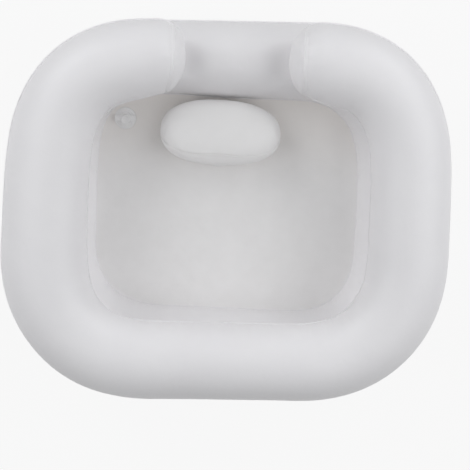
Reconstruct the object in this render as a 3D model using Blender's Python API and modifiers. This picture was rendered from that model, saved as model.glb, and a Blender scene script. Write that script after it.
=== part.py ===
"""Portable shampoo basin: two stacked inflatable film tubes round a floor panel.

The upper tube is open at the neck side, where two domed discs close its ends. A neck pillow lies
on the floor panel, beside a drain with a strapped plug over a hose spout. Each of the three air
chambers has a push-in valve.
Metres, +Z up, +Y towards the neck side. The origin is on the standing surface, under the middle of
the outline.
"""

import math

import bmesh
import bpy
from mathutils import Matrix, Vector
from mathutils.geometry import interpolate_bezier

# Whole basin
width = 0.612
depth = 0.526
film = 0.00045
clearance = 0.0003
# Loose joints closer than this share of a clearance are one point
weld_share = 0.01
# Edges that turn by more than this are shown sharp
sharp_angle = math.radians(35)

# Tubes: outer radius, how far they are pressed flat on the ground and on each other, weld flanges
tube_radius = 0.053
ground_press = 0.0007
stacking_press = 0.00675
outer_flange = 0.002
inner_flange = 0.0035
half_tube_facets = 9

# Outline of the tubes' centreline: straight stretches at neck and foot, and how far along each
# side from its widest place the two corners' curves pull
foot_straight = 0.0968
widest_place = -0.0463
neck_corner_pull = 0.147
foot_corner_pull = 0.0388
corner_steps = 7

# Notch in the upper tube for the neck, seam to seam at the tube's centre
notch_half_gap = 0.088
notch_offset = 0.006
notch_end_run = 0.0129
notch_rise_run = 0.030

# Ends of the upper tube: they narrow towards their end seams, which curve away from the notch on
# the tube's inner and outer side, and domed discs close them
end_narrowing = 0.009
end_taper_run = 0.026
end_taper_corner_share = 0.03
end_taper_steps = 3
left_end_inner_lean = 0.0095
left_end_outer_lean = 0.0005
right_end_inner_lean = 0.0065
right_end_outer_lean = 0.0030
end_dome = 0.0148
end_skirt = 0.005
end_disc_steps = 28
end_dome_rings = 5

# Neck pillow, its weld seam low beside the tube and high on the foot side, its ends blunter in
# section than its middle
pillow_half_length = 0.0839
pillow_half_depth = 0.0455
pillow_flange = 0.0018
pillow_offset = -0.0119
pillow_from_neck_wall = 0.0035
pillow_turn = math.radians(-3.7)
pillow_seam_tilt = math.radians(57)
pillow_middle_height = 0.030
pillow_crown = 0.030
pillow_base_depth = 0.033
pillow_plan_exponent = 2.1
pillow_middle_exponent = 2.4
pillow_end_exponent = 3.2
pillow_segments = 36
pillow_rings = 16

# Floor panel, its edge inside the lower tube's inner weld flanges
floor_edge_inset = 0.0006

# Drain, in from the floor's left neck corner, at a share of the way round that corner
drain_corner_share = 0.2193
drain_from_corner = 0.02772
drain_bore_radius = 0.0055
drain_seat_radius = 0.0155
drain_seat_thickness = 0.0010
drain_seat_edge = 0.0005
drain_boss_radius = 0.0088
drain_boss_height = 0.0022
drain_hole_margin = 0.0006
drain_steps = 32
drain_cap_radius = 0.0092
drain_cap_thickness = 0.0024
drain_plug_radius = 0.0050
drain_plug_tip_radius = 0.0041
drain_plug_length = 0.0040
drain_strap_thickness = 0.0016
drain_strap_half_width = 0.0046
drain_strap_reach = 0.0148
drain_tab_reach = 0.0170
drain_anchor_inner_run = 0.0016
drain_anchor_outer_run = 0.0005

# Hose spout under the drain
spout_bore_radius = 0.0045
spout_radius = 0.0058
spout_length = 0.020
spout_flange_radius = 0.0130
spout_flange_thickness = 0.0012
spout_barb = 0.0009
spout_barb_pitch = 0.0050
spout_barb_count = 3
spout_steps = 24
# Shares of a barb's pitch at which it starts, is widest and steps back
barb_start_share = 0.1
barb_lip_share = 0.7
barb_step_share = 0.8

# Air valves: flange on the film, stem that slides in it, flap at its inner end, cap on a strap
valve_bore_radius = 0.0038
valve_stem_radius = 0.0058
valve_stem_inside = 0.014
valve_running_clearance = 0.0005
valve_hole_margin = 0.0009
valve_flange_radius = 0.0105
valve_flange_thickness = 0.0009
valve_flange_edge = 0.0005
valve_rim_width = 0.0012
valve_rim_height = 0.0005
valve_collar_radius = 0.0082
valve_collar_thickness = 0.0013
valve_steps = 20
valve_lug_inset = 0.0002
valve_lug_half_width = 0.0024
valve_cap_radius = 0.0074
valve_cap_thickness = 0.0015
valve_plug_radius = 0.0033
valve_plug_tip_radius = 0.0027
valve_plug_length = 0.0035
valve_strap_thickness = 0.0011
valve_strap_half_width = 0.0020
valve_strap_reach = 0.0108
valve_tab_reach = 0.0112
valve_flap_radius = 0.0049
valve_flap_thickness = 0.0008
valve_flap_hinge_inset = 0.0003
tube_valve_spread = 0.060
tube_valve_tilt = math.radians(30)
pillow_valve_drop = 0.013
pillow_valve_tilt = math.radians(21.5)
pillow_valve_flat_depth = 0.0023
pillow_valve_flat_radius = 0.017

# A cap's strap runs past its hinge axis by this share of its half thickness
knuckle_share = 0.5
# A cap's rim is taken off by this share of its thickness
cap_edge_share = 0.25
cut_overrun = 0.004
end_arc_steps = 6

centre_half_width = width / 2 - outer_flange - tube_radius
centre_half_depth = depth / 2 - outer_flange - tube_radius
lower_tube_height = tube_radius - ground_press
upper_tube_height = lower_tube_height + 2 * (tube_radius - stacking_press)
contact_depth = tube_radius - stacking_press - clearance / 2
end_seam_radius = tube_radius - end_narrowing
floor_half_depth = centre_half_depth - tube_radius
floor_top = lower_tube_height + film / 2
neck_straight = notch_half_gap + abs(notch_offset) + notch_end_run
notch_left = notch_offset - notch_half_gap
notch_right = notch_offset + notch_half_gap
pillow_y = floor_half_depth - pillow_from_neck_wall - pillow_half_depth

for old in list(bpy.data.objects):
    bpy.data.objects.remove(old)
parts = bpy.data.collections.new("shampoo_basin")
cutters = bpy.data.collections.new("cutters")
bpy.context.scene.collection.children.link(parts)
bpy.context.scene.collection.children.link(cutters)
cutters.hide_render = True


def plastic(name, colour, roughness):
    """A non-metal Principled material of one colour."""
    made = bpy.data.materials.new(name)
    made.use_nodes = True
    shader = made.node_tree.nodes["Principled BSDF"]
    shader.inputs["Base Color"].default_value = (*colour, 1)
    shader.inputs["Roughness"].default_value = roughness
    shader.inputs["Metallic"].default_value = 0
    made.diffuse_color = (*colour, 1)
    return made


tube_film = plastic("white_tube_film", (0.80, 0.80, 0.84), 0.38)
floor_film = plastic("white_floor_film", (0.76, 0.76, 0.79), 0.42)
pillow_film = plastic("white_pillow_film", (0.80, 0.79, 0.80), 0.40)
valve_plastic = plastic("clear_white_valve_vinyl", (0.78, 0.80, 0.82), 0.30)
drain_plastic = plastic("white_drain_vinyl", (0.79, 0.79, 0.80), 0.35)


def add_piece(name, mesh, finish, location=(0, 0, 0), parent=None):
    """A named sub-part made from a mesh, smooth except at real edges."""
    piece = bpy.data.objects.new(name, mesh)
    parts.objects.link(piece)
    mesh.materials.clear()
    mesh.materials.append(finish)
    mesh.shade_smooth()
    mesh.set_sharp_from_angle(angle=sharp_angle)
    piece.parent = parent
    piece.location = location
    return piece


def add_helper(name, data, parent=None):
    """A cutter, or a shape to be joined to a piece."""
    helper = bpy.data.objects.new(name, data)
    cutters.objects.link(helper)
    helper.hide_render = True
    helper.display_type = "WIRE"
    helper.parent = parent
    return helper


def polyline(name, points, closed):
    """A 2D curve through the points."""
    curve = bpy.data.curves.new(name, "CURVE")
    curve.dimensions = "2D"
    curve.fill_mode = "NONE"
    spline = curve.splines.new("POLY")
    spline.points.add(len(points) - 1)
    for place, point in zip(spline.points, points):
        place.co = (point[0], point[1], 0, 1)
    spline.use_cyclic_u = closed
    return curve


def taken_as_mesh(helper):
    """The mesh that an object shows, with its loose joints welded. The object is removed."""
    bpy.context.view_layer.update()
    shown = helper.evaluated_get(bpy.context.evaluated_depsgraph_get())
    mesh = bpy.data.meshes.new_from_object(shown)
    bpy.data.objects.remove(helper)
    work = bmesh.new()
    work.from_mesh(mesh)
    bmesh.ops.remove_doubles(work, verts=work.verts, dist=clearance * weld_share)
    work.to_mesh(mesh)
    work.free()
    return mesh


def boolean(piece, other, operation):
    """Cuts another shape from the piece, or joins it on."""
    modifier = piece.modifiers.new(other.name, "BOOLEAN")
    modifier.operation = operation
    modifier.solver = "EXACT"
    modifier.object = other


def profile_mesh(name, profile, closed):
    """Edges through (radius, height) points, ready for a Screw."""
    count = len(profile)
    edges = [(k, k + 1) for k in range(count - 1)]
    if closed:
        edges.append((count - 1, 0))
    mesh = bpy.data.meshes.new(name)
    mesh.from_pydata([(radius, 0, height) for radius, height in profile], edges, [])
    return mesh


def turn(piece, steps):
    """Turns a piece's profile once round Z."""
    modifier = piece.modifiers.new("turned", "SCREW")
    modifier.steps = steps
    modifier.render_steps = steps
    modifier.use_merge_vertices = True
    modifier.merge_threshold = clearance * weld_share
    modifier.use_smooth_shade = True


def flat_outline(name, points, low, high):
    """A mesh plate with the given outline, between two heights."""
    curve = polyline(name, points, True)
    curve.fill_mode = "BOTH"
    curve.extrude = (high - low) / 2
    mesh = taken_as_mesh(add_helper(name, curve))
    mesh.transform(Matrix.Translation((0, 0, (high + low) / 2)))
    return mesh


def tongue(start, end, half_width, steps=end_arc_steps):
    """Outline of a strip along X with a round end at its far side."""
    radius = math.copysign(half_width, end - start)
    middle = end - radius
    points = [(start, -radius), (middle, -radius)]
    for k in range(1, steps):
        angle = math.pi * k / steps
        points.append((middle + radius * math.sin(angle), -radius * math.cos(angle)))
    points += [(middle, radius), (start, radius)]
    return points


def corner(ends):
    """Points along one curved corner of the outline, without its last one."""
    return [(point.x, point.y) for point in interpolate_bezier(*ends, corner_steps + 1)][:-1]


def right_neck_corner():
    """Ends and handles of the centreline's corner from the neck side to the widest place."""
    side, back = centre_half_width, centre_half_depth
    places = [
        (neck_straight, back, 0),
        (side, back, 0),
        (side, widest_place + neck_corner_pull, 0),
        (side, widest_place, 0),
    ]
    return [Vector(place) for place in places]


def right_foot_corner():
    """Ends and handles of the centreline's corner from the widest place to the foot side."""
    side, back = centre_half_width, centre_half_depth
    places = [
        (side, widest_place, 0),
        (side, widest_place - foot_corner_pull, 0),
        (side, -back, 0),
        (foot_straight, -back, 0),
    ]
    return [Vector(place) for place in places]


def on_neck_corner(share):
    """Place and direction of the centreline at a share of the way round its right neck corner."""
    points = right_neck_corner()
    while len(points) > 2:
        points = [here.lerp(after, share) for here, after in zip(points, points[1:])]
    return points[0].lerp(points[1], share), (points[1] - points[0]).normalized()


def drain_place():
    """The drain's centre in plan, square in from the floor's left neck corner."""
    place, along = on_neck_corner(drain_corner_share)
    place += Vector((along.y, -along.x, 0)) * (tube_radius + drain_from_corner)
    return -place.x, place.y


def open_outline():
    """The centreline from the notch's right end, clockwise round the basin, to its left end."""
    back = centre_half_depth
    right = corner(right_neck_corner()) + corner(right_foot_corner()) + [(foot_straight, -back)]
    past_taper = on_neck_corner(end_taper_corner_share)[0]
    right.insert(1, (past_taper.x, past_taper.y))
    left = [(-x, y) for x, y in reversed(right)]
    right_end, left_end = [], []
    for k in range(end_taper_steps):
        share = k / end_taper_steps
        right_end.append((notch_right + (neck_straight - notch_right) * share, back))
        left_end.append((notch_left - (neck_straight + notch_left) * share, back))
    return right_end + right + left + left_end[::-1]


def notch_outline():
    """The stretch of the lower tube's centreline that shows in the notch, left to right."""
    left, right = notch_left + end_dome, notch_right - end_dome
    places = [left, left + notch_rise_run / 2, left + notch_rise_run]
    places += [right - notch_rise_run, right - notch_rise_run / 2, right]
    return [(x, centre_half_depth) for x in places]


def half_tube_section(side, inner_lift):
    """Section of a tube's top or bottom sheet, (outwards, up): inner flange, half round, outer flange.

    The facets' middles lie on the tube's radius, so a flat piece can seat on one. Each flange is
    lifted off the seam's middle plane, by half a clearance at the outer seam and by more at an inner
    seam that holds the floor.
    """
    corner_radius = tube_radius / math.cos(math.pi / half_tube_facets / 2)
    outer_lift = film + clearance / 2
    points = [(-tube_radius - inner_flange, side * inner_lift)]
    for k in range(half_tube_facets + 1):
        angle = math.pi * (1 - k / half_tube_facets)
        lift = inner_lift if k < half_tube_facets / 2 else outer_lift
        points.append((corner_radius * math.cos(angle), side * max(lift, corner_radius * math.sin(angle))))
    points.append((tube_radius + outer_flange, side * outer_lift))
    return points


def swept_sheet(name, outline, closed, section, side):
    """Mesh of a section carried along the clockwise outline, with its faces pointing out of the tube."""
    rail = polyline(name, [(-outwards, up) for outwards, up in section], False)
    rail_helper = add_helper(name + "_section", rail)
    path = polyline(name, outline, closed)
    path.bevel_mode = "OBJECT"
    path.bevel_object = rail_helper
    mesh = taken_as_mesh(add_helper(name + "_path", path))
    bpy.data.objects.remove(rail_helper)
    up = sum(face.normal.z * face.area for face in mesh.polygons)
    if up * side < 0:
        mesh.flip_normals()
    return mesh


def thicken(piece, thickness=film):
    """Gives an open sheet its wall, inwards from its outer surface."""
    modifier = piece.modifiers.new("film", "SOLIDIFY")
    modifier.thickness = thickness
    modifier.offset = -1
    modifier.use_even_offset = True


def smooth_step(share):
    """0 to 1 with flat ends."""
    share = min(max(share, 0), 1)
    return share * share * (3 - 2 * share)


def notch_rise(x):
    """How round the lower tube's top is at x: 0 under the upper tube, 1 in the open notch."""
    left, right = notch_left + end_dome, notch_right - end_dome
    return smooth_step((x - left) / notch_rise_run) * smooth_step((right - x) / notch_rise_run)


def end_lean(outwards, end):
    """How far an end seam lies away from the notch, at a distance out from the tube's centreline."""
    inner, outer = left_end_inner_lean, left_end_outer_lean
    if end > 0:
        inner, outer = right_end_inner_lean, right_end_outer_lean
    return (outer if outwards > 0 else inner) * (outwards / end_seam_radius) ** 2


def shape_end(point):
    """Narrows the upper tube towards its end seams and leans the sections there, flanges kept whole."""
    run = abs(point.x - notch_offset) - notch_half_gap
    if point.y < 0 or run > end_taper_run:
        return
    nearness = 1 - max(run, 0) / end_taper_run
    narrow = 1 - (1 - end_seam_radius / tube_radius) * nearness**2
    outwards = point.y - centre_half_depth
    flange = max(abs(outwards) - tube_radius, 0)
    point.y = centre_half_depth + math.copysign((abs(outwards) - flange) * narrow + flange, outwards)
    if abs(point.z) > film + clearance:
        point.z *= narrow
    end = math.copysign(1, point.x - notch_offset)
    point.x += end * end_lean(point.y - centre_half_depth, end) * nearness


def drill_valve_hole(piece, seat, name):
    """Cuts a valve's hole through a film sheet."""
    hole = bpy.data.meshes.new(name)
    work = bmesh.new()
    bmesh.ops.create_cone(
        work,
        cap_ends=True,
        segments=valve_steps,
        radius1=valve_stem_radius + valve_hole_margin,
        radius2=valve_stem_radius + valve_hole_margin,
        depth=2 * cut_overrun,
    )
    work.to_mesh(hole)
    work.free()
    boolean(piece, add_helper(name, hole, seat), "DIFFERENCE")


def tube_sheets():
    """The four half-tube sheets of the two tubes, pressed flat where the tubes meet and on the ground."""
    joint_lift = film + clearance / 2
    floor_joint_lift = film + clearance + film / 2
    ring = open_outline() + notch_outline()
    arch = open_outline()

    top = swept_sheet("lower_tube_top_sheet", ring, True, half_tube_section(1, floor_joint_lift), 1)
    for vertex in top.vertices:
        in_notch = notch_rise(vertex.co.x) if vertex.co.y > 0 else 0
        limit = contact_depth + (tube_radius - contact_depth) * in_notch
        vertex.co.z = min(vertex.co.z, limit)
    lower_top = add_piece("lower_tube_top_sheet", top, tube_film, (0, 0, lower_tube_height))

    bottom = swept_sheet("lower_tube_bottom_sheet", ring, True, half_tube_section(-1, floor_joint_lift), -1)
    for vertex in bottom.vertices:
        vertex.co.z = max(vertex.co.z, -lower_tube_height)
    lower_bottom = add_piece("lower_tube_bottom_sheet", bottom, tube_film, (0, 0, lower_tube_height))

    top = swept_sheet("upper_tube_top_sheet", arch, False, half_tube_section(1, joint_lift), 1)
    for vertex in top.vertices:
        shape_end(vertex.co)
    upper_top = add_piece("upper_tube_top_sheet", top, tube_film, (0, 0, upper_tube_height))

    bottom = swept_sheet("upper_tube_bottom_sheet", arch, False, half_tube_section(-1, joint_lift), -1)
    for vertex in bottom.vertices:
        shape_end(vertex.co)
        vertex.co.z = max(vertex.co.z, -contact_depth)
    upper_bottom = add_piece("upper_tube_bottom_sheet", bottom, tube_film, (0, 0, upper_tube_height))
    for sheet in (lower_top, lower_bottom, upper_top, upper_bottom):
        thicken(sheet)
    return lower_top, upper_bottom


def end_disc(name, end_x, towards):
    """Domed disc that closes one end of the upper tube, its skirt lapped inside the tube."""
    skirt_radius = end_seam_radius - film - clearance
    profile = []
    for k in range(end_dome_rings + 1):
        angle = math.pi / 2 * (1 - k / end_dome_rings)
        profile.append((skirt_radius * math.cos(angle), end_dome * math.sin(angle)))
    profile[0] = (0, end_dome)
    profile.append((skirt_radius, -end_skirt))
    helper = add_helper(name, profile_mesh(name, profile, False))
    turn(helper, end_disc_steps)
    mesh = taken_as_mesh(helper)
    mesh.transform(Matrix.Rotation(math.radians(90) * towards, 4, "Y"))
    for vertex in mesh.vertices:
        vertex.co.x -= towards * end_lean(vertex.co.y, -towards)
    piece = add_piece(name, mesh, tube_film, (end_x, centre_half_depth, upper_tube_height))
    thicken(piece)


def floor_panel():
    """Floor sheet, its edge held between the lower tube's inner flanges, with the drain hole."""
    edge = tube_radius + floor_edge_inset
    drain_x, drain_y = drain_place()
    outline = open_outline()
    points = []
    for k, here in enumerate(outline):
        before, after = outline[k - 1], outline[(k + 1) % len(outline)]
        along = Vector((after[0] - before[0], after[1] - before[1])).normalized()
        points.append((here[0] + edge * along.y, here[1] - edge * along.x))
    panel = polyline("floor_panel", points, True)
    hole = panel.splines.new("POLY")
    hole.points.add(drain_steps - 1)
    hole.use_cyclic_u = True
    radius = drain_bore_radius + drain_hole_margin
    for k, place in enumerate(hole.points):
        angle = 2 * math.pi * k / drain_steps
        place.co = (drain_x + radius * math.cos(angle), drain_y + radius * math.sin(angle), 0, 1)
    panel.fill_mode = "BOTH"
    panel.extrude = film / 2
    mesh = taken_as_mesh(add_helper("floor_panel", panel))
    add_piece("floor_panel", mesh, floor_film, (0, 0, lower_tube_height))


def section_reach(level, exponent):
    """How far out the pillow reaches at a share of its crown's or base's height."""
    return (1 - level**exponent) ** (1 / exponent)


def pillow_form(point):
    """Carries a point of a unit sphere to the pillow: a superellipse in plan and in section."""
    round_share = math.hypot(point.x, point.y)
    level = min(abs(point.z), 1)
    if round_share > 0:
        east, north = abs(point.x) / round_share, abs(point.y) / round_share
        spread = (east**pillow_plan_exponent + north**pillow_plan_exponent) ** (-1 / pillow_plan_exponent)
        exponent = pillow_middle_exponent * north**2 + pillow_end_exponent * east**2
        reach = spread * section_reach(level, exponent) / round_share
        point.x *= reach * pillow_half_length
        point.y *= reach * pillow_half_depth
    point.z = level * pillow_crown if point.z > 0 else -level * pillow_base_depth


def seam_ways(rim, upwards):
    """Each seam vertex's way out of the pillow, and its way from the bottom sheet to the top sheet."""
    ways = {}
    for vertex in rim:
        beside = [edge.other_vert(vertex) for edge in vertex.link_edges]
        before, after = [other for other in beside if other in rim]
        across = (after.co - before.co).cross(vertex.normal).normalized()
        ways[vertex] = (vertex.normal.copy(), across if across.dot(upwards) > 0 else -across)
    return ways


def pillow_sheet(name, side):
    """Mesh of the pillow's top or bottom sheet, with its weld flange."""
    work = bmesh.new()
    bmesh.ops.create_uvsphere(work, u_segments=pillow_segments, v_segments=pillow_rings, radius=1)
    middle = math.sin(math.pi / pillow_rings / 2)
    rim = {vertex for vertex in work.verts if abs(vertex.co.z) < middle}
    other_side = [vertex for vertex in work.verts if vertex.co.z * side < -middle]
    tilt = Matrix.Rotation(-pillow_seam_tilt, 3, "X")
    for vertex in work.verts:
        vertex.co = tilt @ vertex.co
        pillow_form(vertex.co)
    bmesh.ops.recalc_face_normals(work, faces=work.faces)
    work.normal_update()
    ways = seam_ways(rim, tilt @ Vector((0, 0, 1)))
    bmesh.ops.delete(work, geom=other_side, context="VERTS")
    for vertex in rim:
        vertex.co += ways[vertex][1] * side * (film + clearance / 2)
    edges = [edge for edge in work.edges if edge.is_boundary]
    for vertex in bmesh.ops.extrude_edge_only(work, edges=edges)["geom"]:
        if isinstance(vertex, bmesh.types.BMVert):
            beside = [edge.other_vert(vertex) for edge in vertex.link_edges]
            start = [other for other in beside if other in rim][0]
            vertex.co += ways[start][0] * pillow_flange
    bmesh.ops.recalc_face_normals(work, faces=work.faces)
    mesh = bpy.data.meshes.new(name)
    work.to_mesh(mesh)
    work.free()
    up = sum(face.normal.z * face.area for face in mesh.polygons)
    if up * side < 0:
        mesh.flip_normals()
    return mesh


def pillow_valve_place():
    """Centre of the pillow valve on the foot side's wall, and its outward direction."""
    outwards = Vector((0, -math.cos(pillow_valve_tilt), -math.sin(pillow_valve_tilt)))
    reach = section_reach(pillow_valve_drop / pillow_base_depth, pillow_middle_exponent)
    place = Vector((0, -reach * pillow_half_depth, -pillow_valve_drop))
    return place - outwards * pillow_valve_flat_depth, outwards


def pillow_sheets():
    """Neck pillow: two sheets welded round the edge, the lower flat on the floor and at its valve."""
    middle = (pillow_offset, pillow_y, floor_top + pillow_middle_height)
    place, outwards = pillow_valve_place()
    sheets = []
    for name, side in (("pillow_top_sheet", 1), ("pillow_bottom_sheet", -1)):
        mesh = pillow_sheet(name, side)
        for vertex in mesh.vertices:
            vertex.co.z = max(vertex.co.z, clearance - pillow_middle_height)
            past = (vertex.co - place).dot(outwards)
            held = (vertex.co - place).length < pillow_valve_flat_radius
            if side < 0 and (past > 0 or held):
                vertex.co -= outwards * past
        sheet = add_piece(name, mesh, pillow_film, middle)
        sheet.rotation_euler = (0, 0, pillow_turn)
        thicken(sheet)
        sheets.append(sheet)
    turned = Matrix.Rotation(pillow_turn, 3, "Z")
    return sheets[1], Vector(middle) + turned @ place, turned @ outwards


def strapped_cap(name, seat, hinge, sizes, finish):
    """Plug cap on a strap, towards +X from its origin on the hinge axis at the strap's root."""
    reach = sizes["strap_reach"]
    half_disc = sizes["thickness"] / 2
    half_strap = sizes["strap_thickness"] / 2
    edge = sizes["thickness"] * cap_edge_share
    profile = [
        (0, half_disc),
        (sizes["radius"] - edge, half_disc),
        (sizes["radius"], half_disc - edge),
        (sizes["radius"], -half_disc),
        (sizes["plug_radius"], -half_disc),
        (sizes["plug_tip_radius"], -half_disc - sizes["plug_length"]),
        (0, -half_disc - sizes["plug_length"]),
    ]
    helper = add_helper(name + "_disc", profile_mesh(name, profile, False))
    turn(helper, sizes["steps"])
    mesh = taken_as_mesh(helper)
    mesh.transform(Matrix.Translation((reach, 0, 0)))
    piece = add_piece(name, mesh, finish, hinge, seat)
    start = -half_strap * knuckle_share
    strip = tongue(start, reach + sizes["tab_reach"], sizes["strap_half_width"])
    strap = flat_outline(name + "_strap", strip, -half_strap, half_strap)
    joined = add_helper(name + "_strap", strap, seat)
    joined.location = hinge
    boolean(piece, joined, "UNION")
    return piece


def drain():
    """Drain seat on the floor, hose spout below it and strapped plug."""
    seat = bpy.data.objects.new("drain_place", None)
    parts.objects.link(seat)
    seat.location = (*drain_place(), floor_top)
    low = clearance
    plate = low + drain_seat_thickness
    boss = low + drain_boss_height
    ring = [
        (drain_bore_radius, boss),
        (drain_boss_radius, boss),
        (drain_boss_radius, plate),
        (drain_seat_radius - drain_seat_edge, plate),
        (drain_seat_radius, plate - drain_seat_edge),
        (drain_seat_radius, low),
        (drain_bore_radius, low),
    ]
    mesh = profile_mesh("drain_flange", ring, True)
    flange = add_piece("drain_flange", mesh, drain_plastic, (0, 0, 0), seat)
    turn(flange, drain_steps)
    anchor_top = boss + (drain_cap_thickness - drain_strap_thickness) / 2
    anchor = [
        (-drain_strap_reach - drain_anchor_outer_run, -drain_strap_half_width),
        (-drain_strap_reach + drain_anchor_inner_run, -drain_strap_half_width),
        (-drain_strap_reach + drain_anchor_inner_run, drain_strap_half_width),
        (-drain_strap_reach - drain_anchor_outer_run, drain_strap_half_width),
    ]
    block = flat_outline("drain_anchor", anchor, low + drain_seat_edge, anchor_top)
    boolean(flange, add_helper("drain_anchor", block, seat), "UNION")

    sizes = {
        "radius": drain_cap_radius,
        "thickness": drain_cap_thickness,
        "plug_radius": drain_plug_radius,
        "plug_tip_radius": drain_plug_tip_radius,
        "plug_length": drain_plug_length,
        "strap_thickness": drain_strap_thickness,
        "strap_half_width": drain_strap_half_width,
        "strap_reach": drain_strap_reach,
        "tab_reach": drain_tab_reach,
        "steps": drain_steps,
    }
    hinge = (-drain_strap_reach, 0, boss + clearance + drain_cap_thickness / 2)
    strapped_cap("drain_cap", seat, hinge, sizes, drain_plastic)

    top = -film - clearance
    under = top - spout_flange_thickness
    end = under - spout_length
    spout = [
        (spout_bore_radius, top),
        (spout_flange_radius, top),
        (spout_flange_radius, under),
        (spout_radius, under),
    ]
    for k in reversed(range(spout_barb_count)):
        tip = end + k * spout_barb_pitch
        spout.append((spout_radius, tip + spout_barb_pitch * barb_step_share))
        spout.append((spout_radius + spout_barb, tip + spout_barb_pitch * barb_lip_share))
        spout.append((spout_radius, tip + spout_barb_pitch * barb_start_share))
    spout += [(spout_radius, end), (spout_bore_radius, end)]
    mesh = profile_mesh("drain_spout", spout, True)
    turn(add_piece("drain_spout", mesh, drain_plastic, (0, 0, 0), seat), spout_steps)


def air_valve(name, place, outwards, sheet):
    """Push-in air valve on a film wall: flange, sliding stem with a lug, check flap, strapped cap."""
    seat = bpy.data.objects.new(name + "_place", None)
    parts.objects.link(seat)
    seat.location = place
    level = math.hypot(outwards.x, outwards.y)
    seat.rotation_euler = (math.atan2(level, outwards.z), 0, math.atan2(outwards.x, -outwards.y))
    drill_valve_hole(sheet, seat, name + "_hole")

    guide = valve_stem_radius + valve_running_clearance
    plate = clearance + valve_flange_thickness
    rim = plate + valve_rim_height
    ring = [
        (guide, rim),
        (guide + valve_rim_width, rim),
        (guide + valve_rim_width, plate),
        (valve_flange_radius, clearance + valve_flange_edge),
        (valve_flange_radius, clearance),
        (guide, clearance),
    ]
    flange = profile_mesh(name + "_flange", ring, True)
    turn(add_piece(name + "_flange", flange, valve_plastic, (0, 0, 0), seat), valve_steps)

    low = rim + clearance
    high = low + valve_collar_thickness
    tube = [
        (valve_bore_radius, high),
        (valve_collar_radius, high),
        (valve_collar_radius, low),
        (valve_stem_radius, low),
        (valve_stem_radius, -valve_stem_inside),
        (valve_bore_radius, -valve_stem_inside),
    ]
    stem_mesh = profile_mesh(name + "_stem", tube, True)
    stem = add_piece(name + "_stem", stem_mesh, valve_plastic, (0, 0, 0), seat)
    turn(stem, valve_steps)
    lug_start = -(valve_stem_radius + valve_collar_radius) / 2
    lug_outline = tongue(lug_start, -valve_strap_reach - valve_lug_half_width / 2, valve_lug_half_width)
    lug = flat_outline(name + "_lug", lug_outline, low + valve_lug_inset, high - valve_lug_inset)
    boolean(stem, add_helper(name + "_lug", lug, seat), "UNION")

    flap_middle = -valve_stem_inside - clearance - valve_flap_thickness / 2
    flap_hinge = (valve_flap_hinge_inset - valve_flap_radius, 0, flap_middle)
    work = bmesh.new()
    bmesh.ops.create_cone(
        work,
        cap_ends=True,
        segments=valve_steps,
        radius1=valve_flap_radius,
        radius2=valve_flap_radius,
        depth=valve_flap_thickness,
        matrix=Matrix.Translation((-flap_hinge[0], 0, 0)),
    )
    flap = bpy.data.meshes.new(name + "_check_flap")
    work.to_mesh(flap)
    work.free()
    add_piece(name + "_check_flap", flap, valve_plastic, flap_hinge, seat)

    sizes = {
        "radius": valve_cap_radius,
        "thickness": valve_cap_thickness,
        "plug_radius": valve_plug_radius,
        "plug_tip_radius": valve_plug_tip_radius,
        "plug_length": valve_plug_length,
        "strap_thickness": valve_strap_thickness,
        "strap_half_width": valve_strap_half_width,
        "strap_reach": valve_strap_reach,
        "tab_reach": valve_tab_reach,
        "steps": valve_steps,
    }
    hinge = (-valve_strap_reach, 0, high + clearance + valve_cap_thickness / 2)
    strapped_cap(name + "_cap", seat, hinge, sizes, valve_plastic)


lower_top_sheet, upper_bottom_sheet = tube_sheets()
end_disc("upper_tube_left_end_disc", notch_left, 1)
end_disc("upper_tube_right_end_disc", notch_right, -1)
floor_panel()
pillow_bottom, pillow_valve_centre, pillow_valve_outwards = pillow_sheets()
drain()
for valve, sheet, spread, height, lean in (
    ("upper_valve", upper_bottom_sheet, tube_valve_spread, upper_tube_height, -1),
    ("lower_valve", lower_top_sheet, -tube_valve_spread, lower_tube_height, 1),
):
    direction = Vector((0, -math.cos(tube_valve_tilt), lean * math.sin(tube_valve_tilt)))
    centre = Vector((spread, -centre_half_depth, height)) + direction * tube_radius
    air_valve(valve, centre, direction, sheet)
air_valve("pillow_valve", pillow_valve_centre, pillow_valve_outwards, pillow_bottom)
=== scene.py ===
"""Portable shampoo basin of inflated white vinyl film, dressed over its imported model."""
import math
from bisect import bisect_right

import bpy
from mathutils import Matrix, Vector, noise
from mathutils.geometry import interpolate_bezier


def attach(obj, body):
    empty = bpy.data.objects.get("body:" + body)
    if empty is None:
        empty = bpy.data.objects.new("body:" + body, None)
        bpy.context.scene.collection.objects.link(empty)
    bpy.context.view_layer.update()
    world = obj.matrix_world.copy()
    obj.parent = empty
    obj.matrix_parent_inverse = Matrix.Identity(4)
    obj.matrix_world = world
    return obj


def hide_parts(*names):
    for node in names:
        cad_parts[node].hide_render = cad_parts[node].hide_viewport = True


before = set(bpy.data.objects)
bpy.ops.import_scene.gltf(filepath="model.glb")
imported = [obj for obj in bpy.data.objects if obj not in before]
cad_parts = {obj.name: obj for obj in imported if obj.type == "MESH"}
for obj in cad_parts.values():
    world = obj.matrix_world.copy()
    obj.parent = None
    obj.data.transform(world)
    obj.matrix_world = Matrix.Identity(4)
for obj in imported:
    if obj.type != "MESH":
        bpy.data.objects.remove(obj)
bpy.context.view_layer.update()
bpy.context.scene.view_settings.view_transform = "Standard"

# Camera: it looks down into the basin from above, a little from the neck side, through a long lens. It is turned
# and tilted as the photograph was taken.
lens = bpy.data.cameras.new("camera")
lens.sensor_width = 36
lens.lens = 88.07
camera = bpy.data.objects.new("camera", lens)
bpy.context.scene.collection.objects.link(camera)
camera.location = (-0.0716, 0.2464, 1.6976)
camera.rotation_euler = (-0.1764, -0.0470, 0.0300)
bpy.context.scene.camera = camera

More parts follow.
